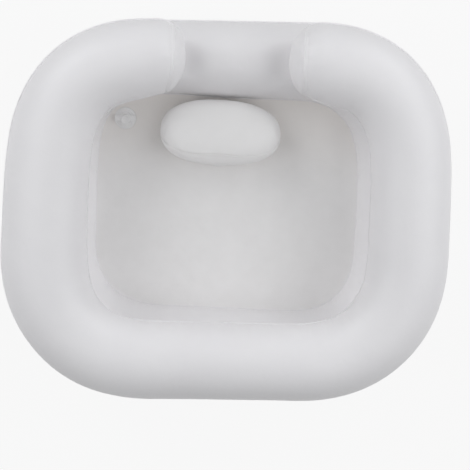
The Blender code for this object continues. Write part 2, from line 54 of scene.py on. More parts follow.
# Lower air tube: a closed ring of soft white vinyl film. Two ring-shaped sheets are heat-welded together along
# their outer and inner edges, with the floor film between them at the inner one, and blown up to a round tube
# that is pressed flat on the ground and under the upper tube.
tube_radius = 0.053
lower_height = 0.0523
upper_height = 0.1448
pressed_height = 0.0461
inner_weld_width = 0.0012
outer_weld_width = 0.0020
weld_thickness = 0.0009
around_steps = 96
lower_columns = 350
side_line = 0.251
back_line = 0.208
widest_place = -0.0463
neck_straight = 0.1069
neck_corner_pull = 0.1007
foot_straight = 0.0968
foot_corner_pull = -0.0851
bend_steps = 160
notch_middle = 0.006
notch_half_gap = 0.0845
dome_reach = 0.0148
notch_rise = 0.042
pressed_easing = 0.0035
free_rise = 0.001
slow_swell = 0.0007
inner_pucker, inner_pucker_reach = 0.0012, 0.075
outer_pucker, outer_pucker_reach = 0.0007, 0.05
pucker_start = 0.02
puckers_along, fine_puckers_along = 95, 210
plug_room_middle = 1.352
plug_room_depth = 0.0030
plug_room_rise = 0.018
plug_room_run, plug_room_ease = 0.10, 0.07
valve_flange_radius = 0.0105
valve_pocket_radius = 0.0067
valve_pocket_depth = 0.0245
valve_pocket_lip = 0.0030
valve_slant = math.radians(30)
valve_seat_depth = 0.012
tube_seat_fade = 0.008
lower_valve_x = -0.060


def centreline():
    """The tubes' centreline, once round clockwise from the middle of the neck side, with its running length."""
    def bend(*places):
        corners = [Vector((x, y, 0)) for x, y in places]
        return [Vector(place) for place in interpolate_bezier(*corners, bend_steps)]

    neck = bend(
        (neck_straight, back_line), (side_line, back_line), (side_line, neck_corner_pull), (side_line, widest_place)
    )
    foot = bend(
        (side_line, widest_place), (side_line, foot_corner_pull), (side_line, -back_line), (foot_straight, -back_line)
    )
    right = [Vector((0, back_line, 0))] + neck + foot[1:] + [Vector((0, -back_line, 0))]
    left = [Vector((-place.x, place.y, 0)) for place in reversed(right)]
    places = right + left[1:]
    lengths = [0.0]
    for here, after in zip(places, places[1:]):
        lengths.append(lengths[-1] + (after - here).length)
    return places, lengths


line_places, line_lengths = centreline()
whole_round = line_lengths[-1]


def on_line(distance):
    """The centreline's point at a distance along it."""
    distance %= whole_round
    k = min(bisect_right(line_lengths, distance), len(line_places) - 1)
    share = (distance - line_lengths[k - 1]) / (line_lengths[k] - line_lengths[k - 1])
    return line_places[k - 1].lerp(line_places[k], share)


def line_frame(distance):
    """The centreline's point at a distance along it, and the direction outwards from the basin there."""
    reach = 0.002
    along = on_line(distance + reach) - on_line(distance - reach)
    return on_line(distance), Vector((-along.y, along.x, 0)).normalized()


def smooth_step(share):
    """0 to 1 with flat ends."""
    share = min(max(share, 0), 1)
    return share * share * (3 - 2 * share)


# Blown up, the ring isn't quite even. These are places along the centreline, and how far outwards of their even
# lines the tubes' outer side, the upper tube's inner side and the lower tube's inner weld lie there.
unevenness = (
    (0.00, -0.0018, 0.0005, -0.0017),
    (0.08, -0.0010, 0.0008, -0.0020),
    (0.12, -0.0002, -0.0003, -0.0022),
    (0.16, 0.0010, 0.0003, -0.0070),
    (0.20, 0.0003, -0.0003, -0.0115),
    (0.24, 0.0008, -0.0010, -0.0106),
    (0.28, 0.0022, -0.0002, -0.0068),
    (0.32, 0.0020, -0.0010, -0.0060),
    (0.36, 0.0005, -0.0028, -0.0068),
    (0.40, 0.0012, -0.0035, -0.0070),
    (0.44, 0.0019, -0.0032, -0.0074),
    (0.48, 0.0024, -0.0031, -0.0072),
    (0.52, 0.0019, -0.0040, -0.0067),
    (0.56, 0.0006, -0.0046, -0.0060),
    (0.60, 0.0000, -0.0040, -0.0044),
    (0.64, 0.0016, -0.0028, -0.0006),
    (0.68, 0.0018, -0.0018, 0.0018),
    (0.72, 0.0005, -0.0010, 0.0016),
    (0.76, 0.0005, -0.0018, 0.0005),
    (0.80, 0.0005, -0.0027, -0.0013),
    (0.88, 0.0005, -0.0025, -0.0029),
    (0.92, 0.0011, -0.0028, -0.0046),
    (0.96, 0.0022, -0.0032, -0.0082),
    (1.00, 0.0020, -0.0037, -0.0116),
    (1.04, 0.0018, -0.0041, -0.0122),
    (1.08, 0.0033, -0.0049, -0.0114),
    (1.12, 0.0049, -0.0055, -0.0103),
    (1.20, 0.0015, -0.0058, -0.0112),
    (1.24, -0.0003, -0.0057, -0.0105),
    (1.28, -0.0013, -0.0050, -0.0094),
    (1.32, -0.0014, -0.0040, -0.0082),
    (1.36, -0.0036, -0.0032, -0.0078),
    (1.40, -0.0047, -0.0032, -0.0080),
    (1.44, -0.0028, -0.0030, -0.0050),
    (1.48, -0.0025, 0.0010, 0.0006),
    (1.52, -0.0023, 0.0032, 0.0022),
    (1.56, -0.0021, 0.0018, 0.0004),
    (1.61, -0.0018, 0.0005, -0.0016),
)


def off_line(distance):
    """How far the three sides lie outwards of their even lines at a distance along the centreline, smoothed."""
    shifts = Vector()
    around_it = (-0.024, -0.012, 0, 0.012, 0.024)
    for step in around_it:
        here = (distance + step) % whole_round
        k = next(k for k, row in enumerate(unevenness) if row[0] > here)
        before, after = unevenness[k - 1], unevenness[k]
        share = (here - before[0]) / (after[0] - before[0])
        shifts += Vector(before[1:]).lerp(Vector(after[1:]), share) / len(around_it)
    return shifts


def side_shift(out, outer, inner):
    """How far a section's point moves outwards when the tube's two sides move."""
    share = min(max(0.5 + out / (2 * tube_radius), 0), 1)
    return inner + (outer - inner) * share


def tube_section(step):
    """A tube's section, (outwards, up), at a step round it: 0 is the inner weld's edge, half way the outer one's."""
    half = around_steps // 2
    side = 1 if step <= half else -1
    k = step if step <= half else around_steps - step
    if k == 0:
        return -tube_radius - inner_weld_width, 0
    if k == half:
        return tube_radius + outer_weld_width, 0
    if k == 1:
        return -tube_radius - inner_weld_width + weld_thickness / 2, side * weld_thickness / 2
    if k == half - 1:
        return tube_radius + outer_weld_width - weld_thickness / 2, side * weld_thickness / 2
    rest = math.asin(weld_thickness / 2 / tube_radius)
    angle = rest + (math.pi - 2 * rest) * (k - 2) / (half - 4)
    return -tube_radius * math.cos(angle), side * tube_radius * math.sin(angle)


def film_ripple(distance, step):
    """How far the blown-up film stands proud: slow unevenness, and short puckers that run out from both welds."""
    turn = 2 * math.pi * step / around_steps
    place = Vector((math.cos(turn), math.sin(turn), 0)) * 1.4
    slow = noise.noise(place + Vector((0, 0, distance * 9)))
    from_inner = min(step, around_steps - step) / around_steps
    from_outer = 0.5 - from_inner
    fold = noise.noise(Vector((distance * puckers_along, from_inner * 9, 7.3))) + 0.5 * noise.noise(
        Vector((distance * fine_puckers_along, from_inner * 12, 3.1))
    )
    inner = math.exp(-((from_inner / inner_pucker_reach) ** 2)) * min(from_inner / pucker_start, 1)
    outer = math.exp(-((from_outer / outer_pucker_reach) ** 2)) * min(from_outer / pucker_start, 1)
    return slow_swell * slow + fold * (inner_pucker * inner + outer_pucker * outer)


def sheet_grid(name, along_steps, across_steps):
    """A flat unit sheet of film, divided along and across, with its own UV map."""
    bpy.ops.object.select_all(action="DESELECT")
    bpy.ops.mesh.primitive_grid_add(x_subdivisions=along_steps, y_subdivisions=across_steps, size=1, calc_uvs=True)
    sheet = bpy.context.object
    sheet.name = name
    sheet.data.name = name
    return sheet


def lay_film(sheet, places):
    """Gives a sheet's UV map real places: metres along the tube, and the share of the way round it."""
    layer = sheet.data.uv_layers.active.data
    for loop in sheet.data.loops:
        layer[loop.index].uv = places[loop.vertex_index]


def closed_up(piece, sharp=40):
    """Welds a shaped piece's open seams and ends, turns its faces outwards and smooths it."""
    bpy.context.view_layer.objects.active = piece
    bpy.ops.object.mode_set(mode="EDIT")
    bpy.ops.mesh.select_all(action="SELECT")
    bpy.ops.mesh.remove_doubles(threshold=0.00002)
    bpy.ops.mesh.select_all(action="DESELECT")
    bpy.ops.mesh.select_non_manifold(
        extend=False, use_wire=False, use_multi_face=False, use_non_contiguous=False, use_verts=False
    )
    bpy.ops.mesh.edge_face_add()
    bpy.ops.mesh.select_all(action="SELECT")
    bpy.ops.mesh.normals_make_consistent(inside=False)
    bpy.ops.object.mode_set(mode="OBJECT")
    bpy.ops.object.shade_smooth_by_angle(angle=math.radians(sharp))


def in_notch(x):
    """How far the lower tube's top is free to stand round at x: 0 under the upper tube, 1 in the open notch."""
    reach = notch_half_gap - dome_reach - abs(x - notch_middle)
    return smooth_step(reach / notch_rise)


def pressed_below(up, top):
    """A section's height held below the plane that presses on it, with an eased turn where it leaves the plane."""
    meeting = max(pressed_easing - abs(up - top), 0) / pressed_easing
    return min(up, top) - meeting * meeting * pressed_easing / 4


def plug_room(distance, up):
    """How far the wall above the inner weld stands back beside the drain, where its open plug leans over."""
    beside = smooth_step((plug_room_run - abs(distance - plug_room_middle)) / plug_room_ease)
    return plug_room_depth * smooth_step(up / plug_room_rise) * beside


def seat_frame(place, outwards):
    """The frame of a valve's seat: Z out of the film, X level along it."""
    level = Vector((-outwards.y, outwards.x, 0)).normalized()
    return Matrix.Translation(place) @ Matrix((level, outwards.cross(level), outwards)).transposed().to_4x4()


def held_flat(point, seat, fade):
    """A film point brought onto a valve seat's plane, where the valve's welded flange holds the film flat."""
    local = seat.inverted() @ point
    beside = math.hypot(local.x, local.y)
    if abs(local.z) < valve_seat_depth and beside < valve_flange_radius + fade:
        local.z *= smooth_step((beside - valve_flange_radius) / fade)
        return seat @ local
    return point


def open_pocket(piece, seat):
    """Cuts the hole that a valve's stem slides in, as deep as its check flap swings."""
    bpy.ops.object.select_all(action="DESELECT")
    bpy.ops.mesh.primitive_cylinder_add(
        vertices=48, radius=valve_pocket_radius, depth=valve_pocket_depth + valve_pocket_lip
    )
    cutter = bpy.context.object
    cutter.matrix_world = seat @ Matrix.Translation((0, 0, (valve_pocket_lip - valve_pocket_depth) / 2))
    bpy.context.view_layer.objects.active = piece
    pocket = piece.modifiers.new("valve pocket", "BOOLEAN")
    pocket.object = cutter
    pocket.operation = "DIFFERENCE"
    pocket.solver = "EXACT"
    bpy.ops.object.modifier_apply(modifier=pocket.name)
    bpy.data.objects.remove(cutter)
    piece.select_set(True)
    bpy.ops.object.shade_smooth_by_angle(angle=math.radians(40))


lower_valve_way = Vector((0, -math.cos(valve_slant), math.sin(valve_slant)))
lower_valve_place = Vector((lower_valve_x, -back_line, lower_height)) + lower_valve_way * tube_radius
lower_valve_seat = seat_frame(lower_valve_place, lower_valve_way)
lower_tube = sheet_grid("lower_tube", lower_columns, around_steps)
film_places = []
for vertex in lower_tube.data.vertices:
    distance = (vertex.co.x + 0.5) * whole_round
    step = round((vertex.co.y + 0.5) * around_steps)
    film_places.append((distance, step / around_steps))
    place, outwards = line_frame(distance)
    out, up = tube_section(step)
    swell = 1 + film_ripple(distance % whole_round, step) / tube_radius
    free = in_notch(place.x) if place.y > 0 else 0
    top = pressed_height + (tube_radius + free_rise - pressed_height) * free
    up = max(pressed_below(up * swell, top), -lower_height)
    shifts = off_line(distance)
    out = out * swell + side_shift(out, shifts.x, shifts.z + plug_room(distance, up))
    point = place + outwards * out + Vector((0, 0, lower_height + up))
    vertex.co = held_flat(point, lower_valve_seat, tube_seat_fade)
lay_film(lower_tube, film_places)
closed_up(lower_tube)
open_pocket(lower_tube, lower_valve_seat)
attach(lower_tube, "root")
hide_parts("lower_tube_top_sheet", "lower_tube_bottom_sheet")


class Shade:
    """One output in a material. Python's signs between outputs and numbers add the Math nodes that do the sum."""

    def __init__(self, tree, socket=None):
        self.tree = tree
        self.socket = socket

    def node(self, kind, settings=None, inputs=None, output=0):
        """A node of any other kind, its settings made before its sockets are filled."""
        made = self.tree.nodes.new("ShaderNode" + kind)
        for name, setting in (settings or {}).items():
            if name == "stops":
                ramp = made.color_ramp
                while len(ramp.elements) < len(setting):
                    ramp.elements.new(0.5)
                for stop, (place, colour) in zip(ramp.elements, setting):
                    stop.position = place
                    stop.color = (*colour, 1)
            else:
                setattr(made, name, setting)
        for name, value in (inputs or {}).items():
            if isinstance(value, Shade):
                self.tree.links.new(value.socket, made.inputs[name])
            else:
                made.inputs[name].default_value = value
        return Shade(self.tree, made.outputs[output])

    def maths(self, operation, first, second=0.5, third=0.5):
        """A Math node on outputs or numbers."""
        return self.node("Math", {"operation": operation}, {0: first, 1: second, 2: third})

    def __add__(self, other):
        return self.maths("ADD", self, other)

    def __sub__(self, other):
        return self.maths("SUBTRACT", self, other)

    def __rsub__(self, other):
        return self.maths("SUBTRACT", other, self)

    def __mul__(self, other):
        return self.maths("MULTIPLY", self, other)

    __radd__ = __add__
    __rmul__ = __mul__


def new_finish(name):
    """An empty Principled material, ready for its nodes."""
    finish = bpy.data.materials.new(name)
    finish.use_nodes = True
    return finish, finish.node_tree.nodes["Principled BSDF"], Shade(finish.node_tree)


def join_up(tree, shader, links):
    """Links outputs to a shader's sockets."""
    for name, value in links.items():
        tree.links.new(value.socket, shader.inputs[name])


tube_film, shader, shade = new_finish("white_tube_film")
place = shade.node("TexCoord", output="Object")
grain = shade.node("TexNoise", {}, {"Vector": place, "Scale": 900, "Detail": 3})
cloud = shade.node("TexNoise", {}, {"Vector": place, "Scale": 14, "Detail": 4, "Roughness": 0.55})
crease = shade.node("TexNoise", {}, {"Vector": place, "Scale": 42, "Detail": 5, "Distortion": 0.6})
sheet_place = shade.node("TexCoord", output="UV")
along = shade.node("SeparateXYZ", {}, {"Vector": sheet_place}, output="X")
around = shade.node("SeparateXYZ", {}, {"Vector": sheet_place}, output="Y")
from_weld = shade.maths("PINGPONG", around, 0.25) * 4
near_weld = shade.maths("POWER", 1 - from_weld, 3.0)
fold_place = shade.node("CombineXYZ", {}, {"X": along * 105, "Y": from_weld * 1.6, "Z": around * 2})
folds = shade.node("TexNoise", {}, {"Vector": fold_place, "Scale": 1, "Detail": 3, "Roughness": 0.6})
tint = shade.node(
    "ValToRGB",
    {"stops": [(0.3, (0.875, 0.862, 0.872)), (0.7, (0.90, 0.888, 0.895))]},
    {"Fac": cloud},
    output="Color",
)
height = grain * 0.00003 + crease * 0.0003 + cloud * 0.0006 + folds * near_weld * 0.0024
bump = shade.node("Bump", {}, {"Height": height, "Strength": 1.0, "Distance": 1.0}, output="Normal")
join_up(
    tube_film.node_tree,
    shader,
    {"Base Color": tint, "Roughness": 0.34 + cloud * 0.14 + grain * 0.04, "Normal": bump},
)
lower_tube.data.materials.append(tube_film)

# Floor film: one flat sheet held in the lower tube's inner weld, with a hole for the drain. It hangs a little
# uneven between the tube's sides.
floor_height = 0.0523
floor_edge = 0.0535
floor_width, floor_depth = 0.398, 0.312
floor_wave = 0.0007
floor_calm_run = 0.03
floor_thickness = 0.00045
edge_steps = 360
drain_place = Vector((-0.1464, 0.1210, 0))
drain_hole = 0.0061
drain_calm = 0.016
pillow_foot = Vector((-0.0119, 0.1060, 0))
pillow_foot_size = (0.050, 0.028)

floor_line = []
for k in range(edge_steps):
    distance = whole_round * k / edge_steps
    place, outwards = line_frame(distance)
    floor_line.append(place - outwards * (floor_edge - off_line(distance).z))


def held_inside(place):
    """A point moved in to the floor's edge where it lies outside it, and how far inside the edge it is."""
    nearest = min(floor_line, key=lambda edge: (edge - place).length_squared)
    k = floor_line.index(nearest)
    along = (floor_line[(k + 1) % edge_steps] - floor_line[k - 1]).normalized()
    inwards = Vector((along.y, -along.x, 0))
    inside = (place - nearest).dot(inwards)
    return (nearest, 0) if inside <= 0 else (place, inside)


floor_film_piece = sheet_grid("floor_film", 132, 104)
for vertex in floor_film_piece.data.vertices:
    flat, inside = held_inside(Vector((vertex.co.x * floor_width, vertex.co.y * floor_depth, 0)))
    from_drain = (flat - drain_place).length - drain_calm
    calm = smooth_step(inside / floor_calm_run) * smooth_step(from_drain / floor_calm_run)
    under = flat - pillow_foot
    calm *= smooth_step((math.hypot(under.x / pillow_foot_size[0], under.y / pillow_foot_size[1]) - 1) / 0.8)
    wave = noise.noise(Vector((flat.x * 22, flat.y * 26, 1.7))) + 0.5 * noise.noise(
        Vector((flat.x * 55, flat.y * 60, 4.2))
    )
    vertex.co = flat + Vector((0, 0, floor_height + floor_wave * wave * calm))
bpy.ops.object.mode_set(mode="EDIT")
bpy.ops.mesh.select_all(action="SELECT")
bpy.ops.mesh.remove_doubles(threshold=0.0001)
bpy.ops.mesh.dissolve_degenerate(threshold=0.0001)
bpy.ops.object.mode_set(mode="OBJECT")
film = floor_film_piece.modifiers.new("film", "SOLIDIFY")
film.thickness = floor_thickness
film.offset = 0
bpy.ops.object.modifier_apply(modifier=film.name)
bpy.ops.object.select_all(action="DESELECT")
bpy.ops.mesh.primitive_cylinder_add(
    vertices=48, radius=drain_hole, depth=0.02, location=(*drain_place.xy, floor_height)
)
punch = bpy.context.object
bpy.context.view_layer.objects.active = floor_film_piece
hole = floor_film_piece.modifiers.new("drain hole", "BOOLEAN")
hole.object = punch
hole.operation = "DIFFERENCE"
hole.solver = "EXACT"
bpy.ops.object.modifier_apply(modifier=hole.name)
bpy.data.objects.remove(punch)
floor_film_piece.select_set(True)
bpy.ops.object.shade_smooth_by_angle(angle=math.radians(40))
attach(floor_film_piece, "root")
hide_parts("floor_panel")

floor_film, shader, shade = new_finish("white_floor_film")
place = shade.node("TexCoord", output="Object")
grain = shade.node("TexNoise", {}, {"Vector": place, "Scale": 900, "Detail": 3})
cloud = shade.node("TexNoise", {}, {"Vector": place, "Scale": 30, "Detail": 5, "Roughness": 0.6})
tint = shade.node(
    "ValToRGB",
    {"stops": [(0.3, (0.872, 0.861, 0.853)), (0.7, (0.902, 0.892, 0.885))]},
    {"Fac": cloud},
    output="Color",
)
# Painted shade: the floor film turns a warmer, darker tone towards the neck side. It stands in for the warm shade that
# falls between the neck tube and the pillow.
towards_neck = shade.node("SeparateXYZ", {}, {"Vector": place}, output="Y")
painted_neck_shade = shade.node(
    "MapRange",
    {"interpolation_type": "SMOOTHSTEP"},
    {"Value": towards_neck, "From Min": 0.02, "From Max": 0.15},
    output="Result",
)
tint = shade.node(
    "Mix",
    {"data_type": "RGBA"},
    {0: painted_neck_shade, 6: tint, 7: (0.872, 0.842, 0.812, 1)},
    output=2,
)
height = grain * 0.00003 + cloud * 0.0009
bump = shade.node("Bump", {}, {"Height": height, "Strength": 1.0, "Distance": 1.0}, output="Normal")
join_up(
    floor_film.node_tree,
    shader,
    {"Base Color": tint, "Roughness": 0.40 + cloud * 0.12, "Normal": bump},
)
floor_film_piece.data.materials.append(floor_film)

# Upper air tube: the same film in a C, cut away at the neck side. It is welded shut along its outer and inner
# edges, and lies on the lower tube, which it is bonded to. Its ends narrow towards their seams, which curve away
# from the notch, and a second weld line runs round just inside each seam.
notch_right = notch_middle + notch_half_gap
notch_left = notch_middle - notch_half_gap
upper_run = whole_round + notch_left - notch_right
end_radius = 0.044
outer_run, inner_run = 0.026, 0.050
end_leans = {-1: (0.0095, 0.0005), 1: (0.0065, 0.0030)}
weld_band = 0.0046
band_dip, band_width = 0.0007, 0.0010
seam_dip, seam_width = 0.0004, 0.0012
end_fold, end_fold_reach, end_fold_start = 0.0009, 0.014, 0.004
end_columns = 0.13
fine_run = 0.036
upper_columns = 340
upper_valve_x = 0.060


def upper_distance(share):
    """Distance along the upper tube at a share of the grid's columns, which stand closer near both ends."""
    if share > 0.5:
        return upper_run - upper_distance(1 - share)
    if share < end_columns:
        return fine_run * share / end_columns
    return fine_run + (upper_run / 2 - fine_run) * (share - end_columns) / (0.5 - end_columns)


def end_lean(out, end):
    """How far a tube end's seam lies away from the notch, at a distance out from the tube's centreline."""
    inner, outer = end_leans[end]
    return (outer if out > 0 else inner) * (out / end_radius) ** 2


def end_narrowing(from_end, out):
    """Share by which a tube's end is narrower: over a short run outside, and a longer one inside."""
    outer = (1 - min(from_end / outer_run, 1)) ** 2
    inner = (1 - min(from_end / inner_run, 1)) ** 1.4
    return (1 - end_radius / tube_radius) * (inner + (outer - inner) * smooth_step(0.5 + out / tube_radius))


def end_pucker(from_end, turn, end):
    """How far the film stands proud near an end seam: puckers that run along the tube, and the weld lines."""
    fold = noise.noise(Vector((math.cos(turn) * 6, math.sin(turn) * 6, end * 3 + from_end * 12)))
    band = -band_dip * math.exp(-(((from_end - weld_band) / band_width) ** 2))
    seam = -seam_dip * math.exp(-((from_end / seam_width) ** 2))
    near_end = math.exp(-((from_end / end_fold_reach) ** 2)) * smooth_step(from_end / end_fold_start)
    return band + seam + end_fold * fold * near_end


upper_valve_way = Vector((0, -math.cos(valve_slant), -math.sin(valve_slant)))
upper_valve_place = Vector((upper_valve_x, -back_line, upper_height)) + upper_valve_way * tube_radius
upper_valve_seat = seat_frame(upper_valve_place, upper_valve_way)
upper_tube = sheet_grid("upper_tube", upper_columns, around_steps)
film_places = []
for vertex in upper_tube.data.vertices:
    distance = upper_distance(vertex.co.x + 0.5)
    step = round((vertex.co.y + 0.5) * around_steps)
    film_places.append((distance + 3, step / around_steps))
    end = 1 if distance < upper_run / 2 else -1
    from_end = min(distance, upper_run - distance)
    place, outwards = line_frame(notch_right + distance)
    out, up = tube_section(step)
    proud = film_ripple(distance + 0.4, step) + end_pucker(from_end, 2 * math.pi * step / around_steps, end)
    swell = 1 + proud / tube_radius - end_narrowing(from_end, out)
    flange = max(abs(out) - tube_radius, 0)
    out = math.copysign((abs(out) - flange) * swell + flange, out)
    up = max(up * swell, -pressed_height)
    shifts = off_line(notch_right + distance)
    out += side_shift(out, shifts.x, shifts.y) * smooth_step(from_end / fine_run)
    place = place + outwards * out + Vector((0, 0, upper_height + up))
    place.x += end * end_lean(out, end) * (1 - min(from_end / outer_run, 1))
    vertex.co = held_flat(place, upper_valve_seat, tube_seat_fade)
lay_film(upper_tube, film_places)
closed_up(upper_tube)
open_pocket(upper_tube, upper_valve_seat)
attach(upper_tube, "root")
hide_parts("upper_tube_top_sheet", "upper_tube_bottom_sheet")
upper_tube.data.materials.append(tube_film)

# End discs: a round piece of film closes each end of the upper tube. The tube's air pushes it out into a shallow
# dome, and short puckers run in from its weld, which stands up as a thin bead round the tube's end.
disc_radius = end_radius - 0.0008
disc_pucker, disc_pucker_reach, disc_pucker_start = 0.0011, 0.40, 0.08
bead_thickness = 0.0009
for name, end_x, end in (
    ("left_end_disc", notch_left, -1),
    ("right_end_disc", notch_right, 1),
):
    bpy.ops.object.select_all(action="DESELECT")
    bpy.ops.mesh.primitive_uv_sphere_add(segments=112, ring_count=56, radius=1)
    disc = bpy.context.object
    disc.name = name
    bpy.ops.object.mode_set(mode="EDIT")
    bpy.ops.mesh.select_all(action="SELECT")
    bpy.ops.mesh.bisect(plane_co=(0, 0, -0.002), plane_no=(0, 0, 1), clear_inner=True)
    bpy.ops.object.mode_set(mode="OBJECT")
    film_places = []
    for vertex in disc.data.vertices:
        level = max(vertex.co.z, 0)
        turn = math.atan2(vertex.co.y, vertex.co.x)
        film_places.append((abs(turn) * disc_radius + 6, 0.25 * level))
        near_weld = math.exp(-((level / disc_pucker_reach) ** 2)) * smooth_step(level / disc_pucker_start)
        fold = noise.noise(Vector((math.cos(turn) * 6, math.sin(turn) * 6, level * 1.5 + end_x)))
        reach = level * dome_reach + disc_pucker * fold * near_weld
        out = vertex.co.y * disc_radius
        up = vertex.co.x * disc_radius
        vertex.co = Vector((end_x + end * (end_lean(out, end) - reach), back_line + out, upper_height + up))
    lay_film(disc, film_places)
    closed_up(disc)
    bpy.ops.object.select_all(action="DESELECT")
    bpy.ops.mesh.primitive_torus_add(
        major_segments=140, minor_segments=10, major_radius=end_radius - 0.0005, minor_radius=bead_thickness
    )
    bead = bpy.context.object
    for vertex in bead.data.vertices:
        beside, out, up = vertex.co.z, vertex.co.y, vertex.co.x
        vertex.co = Vector((end_x + end * end_lean(out, end) + beside, back_line + out, upper_height + up))
    lay_film(bead, [(0, 0.25)] * len(bead.data.vertices))
    closed_up(bead)
    disc.select_set(True)
    bead.select_set(True)
    bpy.context.view_layer.objects.active = disc
    bpy.ops.object.join()
    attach(disc, "root")
    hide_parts("upper_tube_" + name)
    disc.data.materials.append(tube_film)

# Neck pillow: two oval sheets of film welded round the edge and blown up tight, flat underneath where it is
# bonded to the floor film. It lies a little askew. Its weld runs low beside the tube and high on the foot side,
# pressed flat to the film, and the film puckers along it.
pillow_middle = Vector((-0.0119, 0.1060, 0.0825))
pillow_turn = Matrix.Rotation(math.radians(-1.6), 3, "Z")
seam_tilt = Matrix.Rotation(math.radians(-57), 3, "X")
pillow_half_length = 0.0839
pillow_half_depth = 0.0455
pillow_crown = 0.030
pillow_base = 0.033
pillow_flat = -0.0296
pillow_weld_width = 0.0026
pillow_weld_rise = 0.0005
pillow_weld_waver = 0.0003
pillow_weld_dip, pillow_dip_reach = 0.0005, 0.03
pillow_pucker, pillow_pucker_reach, pillow_pucker_start = 0.0013, 0.42, 0.10
pillow_swell = 0.0010
pillow_seat_fade = 0.013
plan_power = 2.45
middle_power = 2.4
end_power = 3.2
pillow_valve_way = Vector((-0.060042, -0.928478, -0.366501))
pillow_valve_seat = seat_frame(Vector((-0.014563, 0.064820, 0.070368)), pillow_valve_way)


def on_pillow(turn, rise):
    """A point of the pillow's skin: an angle round its weld, and an angle up from the weld towards the top."""
    ball = seam_tilt @ Vector((math.cos(rise) * math.cos(turn), math.cos(rise) * math.sin(turn), math.sin(rise)))
    level = min(abs(ball.z), 1)
    flat = math.hypot(ball.x, ball.y)
    reach = 0
    if flat > 0:
        east, north = abs(ball.x) / flat, abs(ball.y) / flat
        power = middle_power * north**2 + end_power * east**2
        plan = (east**plan_power + north**plan_power) ** (-1 / plan_power)
        reach = (1 - level**power) ** (1 / power) * plan / flat
    height = level * pillow_crown if ball.z > 0 else max(-level * pillow_base, pillow_flat)
    return pillow_turn @ Vector((ball.x * reach * pillow_half_length, ball.y * reach * pillow_half_depth, height))


bpy.ops.object.select_all(action="DESELECT")
bpy.ops.mesh.primitive_uv_sphere_add(segments=180, ring_count=90, radius=1)
pillow = bpy.context.object
pillow.name = "neck_pillow"
angles = []
for vertex in pillow.data.vertices:
    turn, rise = math.atan2(vertex.co.y, vertex.co.x), math.asin(max(-1, min(1, vertex.co.z)))
    angles.append((turn, rise))
    vertex.co = on_pillow(turn, rise)
pillow.data.update()
blown = []
for vertex, (turn, rise) in zip(pillow.data.vertices, angles):
    way = vertex.normal.copy()
    near = math.exp(-((rise / pillow_pucker_reach) ** 2)) * smooth_step(abs(rise) / pillow_pucker_start)
    fold = noise.noise(Vector((math.cos(turn) * 7, math.sin(turn) * 7, rise * 1.2)))
    slow = noise.noise(way * 1.7 + Vector((0, 0, 9)))
    dip = pillow_weld_dip * math.exp(-((rise / pillow_dip_reach) ** 2))
    proud = pillow_pucker * fold * near + pillow_swell * slow * (1 - near) - dip
    place = vertex.co + way * proud
    place.z = max(place.z, pillow_flat)
    blown.append(held_flat(pillow_middle + place, pillow_valve_seat, pillow_seat_fade))
for vertex, place in zip(pillow.data.vertices, blown):
    vertex.co = place
closed_up(pillow)
open_pocket(pillow, pillow_valve_seat)
bpy.ops.object.select_all(action="DESELECT")
ring_width = 0.1
bpy.ops.mesh.primitive_torus_add(
    major_segments=240, minor_segments=12, major_radius=1, minor_radius=ring_width
)
weld = bpy.context.object
for vertex in weld.data.vertices:
    turn = math.atan2(vertex.co.y, vertex.co.x)
    out = (math.hypot(vertex.co.x, vertex.co.y) - 1) / ring_width
    place = on_pillow(turn, 0)
    along = (on_pillow(turn + 0.01, 0) - on_pillow(turn - 0.01, 0)).normalized()
    across = (on_pillow(turn, 0.02) - on_pillow(turn, -0.02)).normalized()
    away = along.cross(across).normalized()
    fold = noise.noise(Vector((math.cos(turn) * 9, math.sin(turn) * 9, 2.2)))
    beside = vertex.co.z / ring_width * pillow_weld_width / 2 + pillow_weld_waver * fold
    vertex.co = pillow_middle + place + away * out * pillow_weld_rise + across * beside
closed_up(weld)
pillow.select_set(True)
bpy.context.view_layer.objects.active = pillow
bpy.ops.object.join()
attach(pillow, "root")
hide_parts("pillow_top_sheet", "pillow_bottom_sheet")

pillow_film, shader, shade = new_finish("white_pillow_film")
place = shade.node("TexCoord", output="Object")
grain = shade.node("TexNoise", {}, {"Vector": place, "Scale": 900, "Detail": 3})
cloud = shade.node("TexNoise", {}, {"Vector": place, "Scale": 20, "Detail": 4, "Roughness": 0.55})
tint = shade.node(
    "ValToRGB",
    {"stops": [(0.3, (0.895, 0.885, 0.877)), (0.7, (0.925, 0.915, 0.908))]},
    {"Fac": cloud},
    output="Color",
)
height = grain * 0.00003 + cloud * 0.0005
bump = shade.node("Bump", {}, {"Height": height, "Strength": 1.0, "Distance": 1.0}, output="Normal")
join_up(
    pillow_film.node_tree,
    shader,
    {"Base Color": tint, "Roughness": 0.36 + cloud * 0.12, "Normal": bump},
)
pillow.data.materials.append(pillow_film)

# Drain: a turned vinyl seat welded round the hole in the floor film, with a plug on a strap pressed into it. Under
# the floor a barbed spout takes the hose. All three are moulded in soft white vinyl.
drain_seat = Matrix.Translation((*drain_place.xy, 0.052525))


def turned(name, profile, segments=64):
    """A ring drawn out through (radius, height) points about Z. It closes where its last point is its first."""
    bpy.ops.object.select_all(action="DESELECT")
    bpy.ops.mesh.primitive_circle_add(vertices=segments, radius=profile[0][0], location=(0, 0, profile[0][1]))
    piece = bpy.context.object
    piece.name = name
    piece.data.name = name
    bpy.ops.object.mode_set(mode="EDIT")
    for (radius, height), (next_radius, next_height) in zip(profile, profile[1:]):
        bpy.ops.mesh.extrude_edges_move(TRANSFORM_OT_translate={"value": (0, 0, next_height - height)})
        growth = next_radius / radius
        bpy.ops.transform.resize(value=(growth, growth, 1))
    bpy.ops.object.mode_set(mode="OBJECT")
    bpy.ops.object.transform_apply(location=True)
    closed_up(piece)
    return piece


